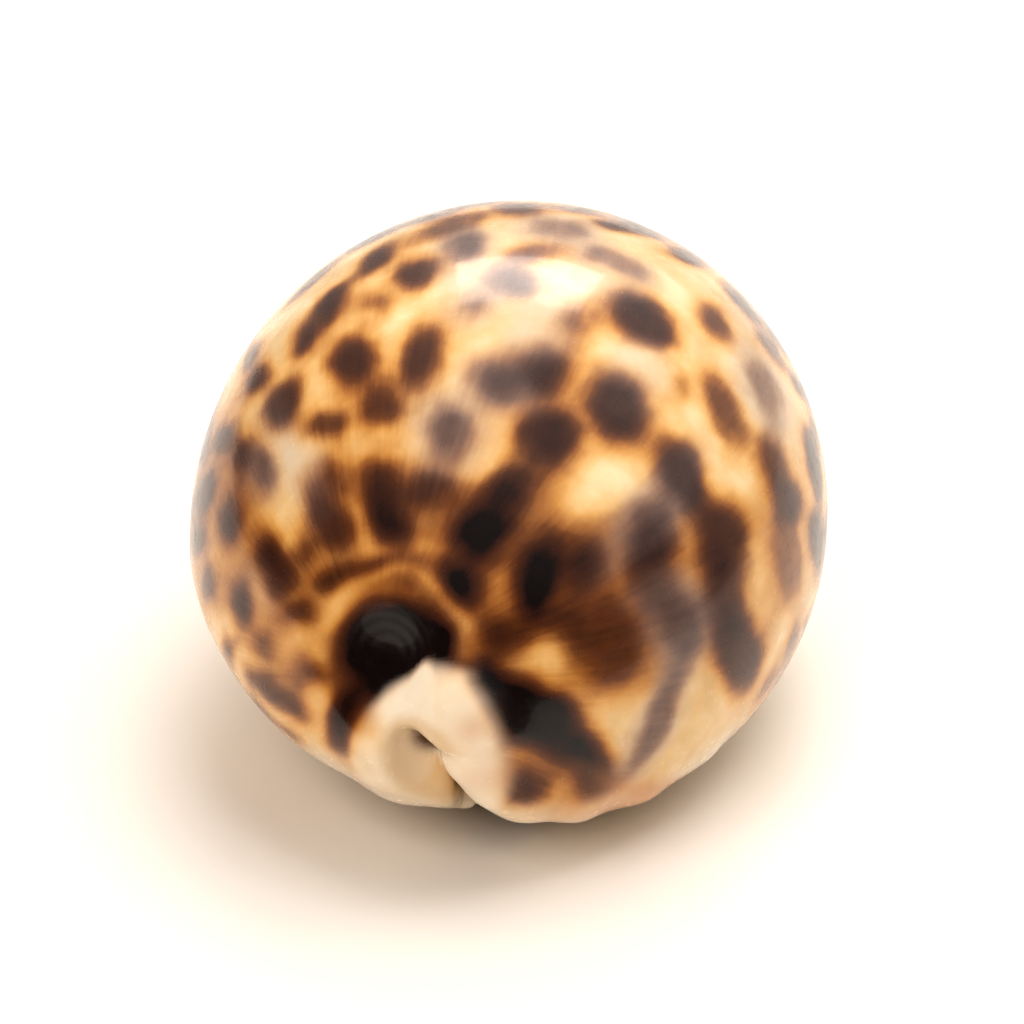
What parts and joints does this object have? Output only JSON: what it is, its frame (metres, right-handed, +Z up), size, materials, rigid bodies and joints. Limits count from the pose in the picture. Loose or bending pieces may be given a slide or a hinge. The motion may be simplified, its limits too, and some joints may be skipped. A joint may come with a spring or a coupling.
{
  "type": "cowrie shell",
  "caption": "Glossy spotted cowrie shell lying on its base, domed egg-shaped back, long toothed slit underneath with a notch at each end.",
  "frame": {"origin": "centre of the bounding box in plan, on the surface that the shell rests on", "axes": "+Z up through the domed back, +Y along the shell towards its narrow anterior end, -Y towards the blunt spire end, +X towards the outer lip"},
  "size_m": [0.0566, 0.0814, 0.0432],
  "materials": {
    "shell": "natural high gloss, cream ground with soft-edged amber and dark brown spots, white callus on the base and lips"
  },
  "bodies": {
    "root": {"cowrie_shell": "shell"}
  },
  "joints": []
}
